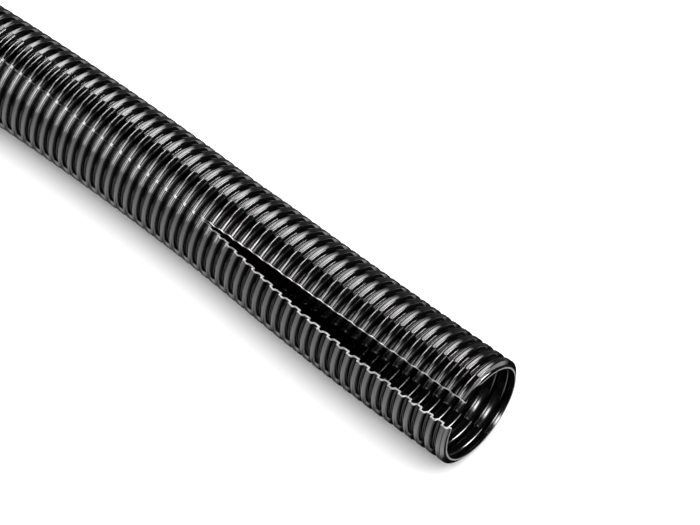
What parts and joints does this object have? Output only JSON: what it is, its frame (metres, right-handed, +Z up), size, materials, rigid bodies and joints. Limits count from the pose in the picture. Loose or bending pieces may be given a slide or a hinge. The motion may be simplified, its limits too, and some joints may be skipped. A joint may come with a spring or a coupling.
{
  "type": "split loom tubing",
  "caption": "Cut length of annularly corrugated black polyethylene tube, slit lengthwise, with the slit spread open at one end.",
  "frame": {"origin": "on the floor under the tube, midway along it, on the line between the centres of its two ends", "axes": "+X along the tube towards the opened end, +Y away from the slit, +Z up"},
  "size_m": [0.3064, 0.0507, 0.0486],
  "materials": {
    "polyethylene": "smooth blown black polyethylene with streaky gloss on the ribs"
  },
  "bodies": {
    "root": {"split_loom_tube": "polyethylene"}
  },
  "joints": []
}
